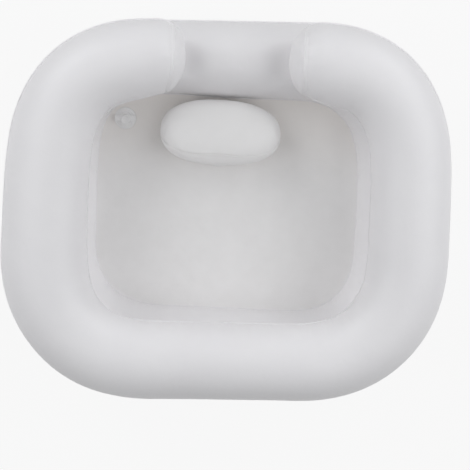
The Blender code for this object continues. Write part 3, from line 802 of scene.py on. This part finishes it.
def strip(start, end, half_width, low, high, round_end=True, corner=None):
    """A flat strip along X, its far end rounded, or only its far corners."""
    bpy.ops.object.select_all(action="DESELECT")
    bpy.ops.mesh.primitive_cube_add(size=1, location=((start + end) / 2, 0, (low + high) / 2))
    piece = bpy.context.object
    piece.scale = (abs(end - start), 2 * half_width, high - low)
    bpy.ops.object.transform_apply(location=True, scale=True)
    bpy.ops.object.mode_set(mode="EDIT")
    bpy.ops.mesh.select_mode(type="EDGE")
    bpy.ops.mesh.select_all(action="DESELECT")
    bpy.ops.object.mode_set(mode="OBJECT")
    for edge in piece.data.edges:
        ends = [piece.data.vertices[k].co for k in edge.vertices]
        upright = abs(ends[0].z - ends[1].z) > (high - low) / 2
        edge.select = upright and round_end and all(abs(place.x - end) < half_width / 10 for place in ends)
    bpy.ops.object.mode_set(mode="EDIT")
    if round_end:
        bpy.ops.mesh.bevel(offset=corner or half_width * 0.97, segments=10, affect="EDGES")
    bpy.ops.object.mode_set(mode="OBJECT")
    return piece


def fused(piece, *others):
    """Melts other moulded shapes into a piece."""
    for other in others:
        bpy.ops.object.select_all(action="DESELECT")
        bpy.context.view_layer.objects.active = piece
        melt = piece.modifiers.new("melt", "BOOLEAN")
        melt.object = other
        melt.operation = "UNION"
        melt.solver = "EXACT"
        bpy.ops.object.modifier_apply(modifier=melt.name)
        bpy.data.objects.remove(other)
    return piece


def eased(piece, radius, seat):
    """Rounds a moulded piece's edges and puts it in its place."""
    bpy.ops.object.select_all(action="DESELECT")
    piece.select_set(True)
    bpy.context.view_layer.objects.active = piece
    soft = piece.modifiers.new("eased edges", "BEVEL")
    soft.width = radius
    soft.segments = 3
    soft.limit_method = "ANGLE"
    soft.angle_limit = math.radians(35)
    soft.harden_normals = False
    bpy.ops.object.modifier_apply(modifier=soft.name)
    bpy.ops.object.shade_smooth_by_angle(angle=math.radians(35))
    piece.matrix_world = seat
    bpy.ops.object.transform_apply(location=True, rotation=True, scale=True)
    return piece


drain_flange = turned(
    "drain_seat",
    [
        (0.0055, 0.0025), (0.0062, 0.0028), (0.0084, 0.0028), (0.0088, 0.0025), (0.0090, 0.0014), (0.0118, 0.0012),
        (0.0121, 0.0009), (0.0127, 0.0009), (0.0130, 0.0012), (0.0150, 0.0012), (0.0155, 0.0008), (0.0155, 0.0003),
        (0.0055, 0.0003), (0.0055, 0.0025),
    ],
)
anchor = strip(-0.0132, -0.0153, 0.0046, 0.0008, 0.0029, round_end=False)
eased(fused(drain_flange, anchor), 0.0002, drain_seat)

drain_cap = turned(
    "drain_plug",
    [
        (0.0008, 0.0040), (0.0060, 0.0040), (0.0062, 0.0030), (0.0051, 0.0028), (0.0049, 0.0020), (0.0050, 0.0014),
        (0.0046, 0.0000), (0.0041, -0.0012), (0.0030, -0.0012), (0.0030, 0.0006), (0.0008, 0.0006),
    ],
)
plug_head = turned(
    "drain_plug_head",
    [
        (0.0008, 0.0047), (0.0040, 0.0047), (0.0046, 0.0052), (0.0064, 0.0052), (0.0071, 0.0048), (0.0073, 0.0042),
        (0.0073, 0.0030), (0.0008, 0.0030),
    ],
)
plug_head.location.y = -0.0018
bar_half_width, bar_low, bar_high = 0.0042, 0.0031, 0.0046
plug_strap = strip(-0.0152, 0.0022, bar_half_width, bar_low, bar_high, round_end=False)
plug_tab = strip(-0.0010, 0.0145, bar_half_width, bar_low, bar_high, corner=0.0012)
eased(fused(drain_cap, plug_head, plug_strap, plug_tab), 0.0003, drain_seat)

spout_end = -0.02195
barb_pitch = 0.0050
spout_profile = [
    (0.0045, -0.00075), (0.0126, -0.00075), (0.0130, -0.0010), (0.0130, -0.0017), (0.0126, -0.0020),
    (0.0068, -0.0020), (0.0058, -0.0030),
]
for barb in (2, 1, 0):
    low = spout_end + barb * barb_pitch
    spout_profile += [
        (0.0058, low + 0.0040), (0.0067, low + 0.0036), (0.0066, low + 0.0032), (0.0058, low + 0.0005),
    ]
spout_profile += [(0.0056, spout_end), (0.0047, spout_end), (0.0045, -0.0215), (0.0045, -0.00075)]
drain_spout = turned("drain_spout_tube", spout_profile)
eased(drain_spout, 0.0001, drain_seat)

moulded_vinyl, shader, shade = new_finish("moulded_white_vinyl")
place = shade.node("TexCoord", output="Object")
grain = shade.node("TexNoise", {}, {"Vector": place, "Scale": 1400, "Detail": 3})
cloud = shade.node("TexNoise", {}, {"Vector": place, "Scale": 90, "Detail": 4, "Roughness": 0.6})
tint = shade.node(
    "ValToRGB",
    {"stops": [(0.3, (0.87, 0.865, 0.86)), (0.7, (0.915, 0.91, 0.905))]},
    {"Fac": cloud},
    output="Color",
)
height = grain * 0.000015 + cloud * 0.00012
bump = shade.node("Bump", {}, {"Height": height, "Strength": 1.0, "Distance": 1.0}, output="Normal")
join_up(
    moulded_vinyl.node_tree,
    shader,
    {"Base Color": tint, "Roughness": 0.26 + cloud * 0.14 + grain * 0.05, "Normal": bump},
)
for piece, body, node in (
    (drain_flange, "root", "drain_flange"),
    (drain_cap, "drain_cap", "drain_cap"),
    (drain_spout, "root", "drain_spout"),
):
    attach(piece, body)
    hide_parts(node)
    piece.data.materials.append(moulded_vinyl)

# Air valves: one for each air space, the two tubes' on the outer foot wall and the pillow's on its foot side. A
# turned flange is welded to the film, a stem is pushed into it with a thin check flap at its inner end, and a
# plug cap on a strap closes it. They are moulded in clear-white vinyl.
valve_flange = turned(
    "valve_flange",
    [
        (0.0063, 0.0016), (0.0066, 0.0017), (0.0073, 0.0017), (0.0076, 0.0014), (0.0078, 0.0012), (0.0090, 0.00105),
        (0.0092, 0.0009), (0.0095, 0.0009), (0.0097, 0.0010), (0.0103, 0.0008), (0.0105, 0.0006), (0.0105, 0.0003),
        (0.0063, 0.0003), (0.0063, 0.0016),
    ],
    56,
)
valve_stem = turned(
    "valve_stem",
    [
        (0.0038, 0.0029), (0.0041, 0.0033), (0.0078, 0.0033), (0.0082, 0.0030), (0.0082, 0.0022), (0.0079, 0.0020),
        (0.0061, 0.0020), (0.0058, 0.0017), (0.0058, -0.0085), (0.0056, -0.0088), (0.0056, -0.0093), (0.0058, -0.0096),
        (0.0058, -0.0135), (0.0054, -0.0140), (0.0040, -0.0140), (0.0038, -0.0136), (0.0038, 0.0029),
    ],
    56,
)
stem_lug = strip(-0.0070, -0.0120, 0.0024, 0.0022, 0.0031)
fused(valve_stem, stem_lug)
valve_cap = turned(
    "valve_cap",
    [
        (0.0008, 0.0047), (0.0030, 0.0047), (0.0034, 0.0051), (0.0066, 0.0051), (0.0072, 0.0048), (0.0074, 0.0044),
        (0.0074, 0.0037), (0.0035, 0.0036), (0.0033, 0.0030), (0.0034, 0.0024), (0.0031, 0.0010), (0.0027, 0.0001),
        (0.0018, 0.0001), (0.0018, 0.0020), (0.0008, 0.0020),
    ],
    56,
)
strap_half_width, strap_low, strap_high = 0.0020, 0.0038, 0.0049
cap_strap = strip(-0.01105, 0.0016, strap_half_width, strap_low, strap_high, round_end=False)
cap_tab = strip(-0.0008, 0.0112, strap_half_width, strap_low, strap_high)
fused(valve_cap, cap_strap, cap_tab)
check_flap = turned(
    "valve_check_flap",
    [(0.0010, -0.0144), (0.0040, -0.0143), (0.0047, -0.0144), (0.0049, -0.0147), (0.0046, -0.0151), (0.0010, -0.0151)],
    48,
)
valve_makings = (
    (valve_flange, "_flange", 0.00012),
    (valve_stem, "_stem", 0.00015),
    (valve_cap, "_cap", 0.00022),
    (check_flap, "_check_flap", 0.0001),
)
for valve, seat in (
    ("upper_valve", upper_valve_seat),
    ("lower_valve", lower_valve_seat),
    ("pillow_valve", pillow_valve_seat),
):
    for making, kind, radius in valve_makings:
        piece = making.copy()
        piece.data = making.data.copy()
        bpy.context.scene.collection.objects.link(piece)
        piece.name = valve + kind + "_moulded"
        piece.data.name = piece.name
        eased(piece, radius, seat)
        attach(piece, "root" if kind == "_flange" else valve + kind)
        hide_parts(valve + kind)
        piece.data.materials.append(moulded_vinyl)
for making, kind, radius in valve_makings:
    bpy.data.objects.remove(making)

# Studio: a white floor, large soft lights on both sides and at both corners of the neck side, and pale light all
# round.
bpy.ops.object.select_all(action="DESELECT")
bpy.ops.mesh.primitive_plane_add(size=8, location=(0, 0, -0.0005))
ground = bpy.context.object
ground.name = "studio_floor"
paper, shader, shade = new_finish("studio_paper")
shader.inputs["Base Color"].default_value = (0.55, 0.55, 0.55, 1)
shader.inputs["Roughness"].default_value = 0.9
camera_ray = shade.node("LightPath", output="Is Camera Ray")
glossy_ray = shade.node("LightPath", output="Is Glossy Ray")
through_ray = shade.node("LightPath", output="Is Transmission Ray")
white = shade.node("Emission", {}, {"Color": (1, 1, 1, 1), "Strength": 1.0})
plain = Shade(paper.node_tree, shader.outputs[0])
whiteness = 0.9
mixed = shade.node(
    "MixShader", {}, {0: (camera_ray + glossy_ray + through_ray) * whiteness, 1: plain, 2: white}
)
paper.node_tree.links.new(mixed.socket, paper.node_tree.nodes["Material Output"].inputs["Surface"])
ground.data.materials.append(paper)

basin_middle = Vector((0, 0, 0.1))
for name, power, size, place in (
    ("right_corner_softbox", 9.9, 1.2, (1.374, 1.374, 1.133)),
    ("left_corner_softbox", 11.2, 1.2, (-1.374, 1.374, 1.133)),
    ("low_right_softbox", 4.7, 1.2, (1.866, 0, 1.266)),
    ("high_right_softbox", 7.0, 1.4, (1.354, 0, 1.834)),
    ("low_left_softbox", 2.6, 1.2, (-1.866, 0, 1.266)),
    ("high_left_softbox", 6.1, 1.4, (-1.354, 0, 1.834)),
):
    lamp = bpy.data.lights.new(name, "AREA")
    lamp.energy = power
    lamp.size = size
    lamp.color = (0.97, 0.98, 1.0)
    holder = bpy.data.objects.new(name, lamp)
    bpy.context.scene.collection.objects.link(holder)
    holder.location = place
    holder.rotation_euler = (basin_middle - Vector(place)).to_track_quat("-Z", "Y").to_euler()

world = bpy.data.worlds.new("studio_air")
bpy.context.scene.world = world
world.use_nodes = True
air = world.node_tree.nodes["Background"]
air.inputs["Color"].default_value = (0.98, 0.99, 1.0, 1)
sky = Shade(world.node_tree)
camera_ray = sky.node("LightPath", output="Is Camera Ray")
glossy_ray = sky.node("LightPath", output="Is Glossy Ray")
through_ray = sky.node("LightPath", output="Is Transmission Ray")
air_light = 0.30
seen_directly = camera_ray + glossy_ray + through_ray
join_up(world.node_tree, air, {"Strength": seen_directly * (1 - air_light) + air_light})
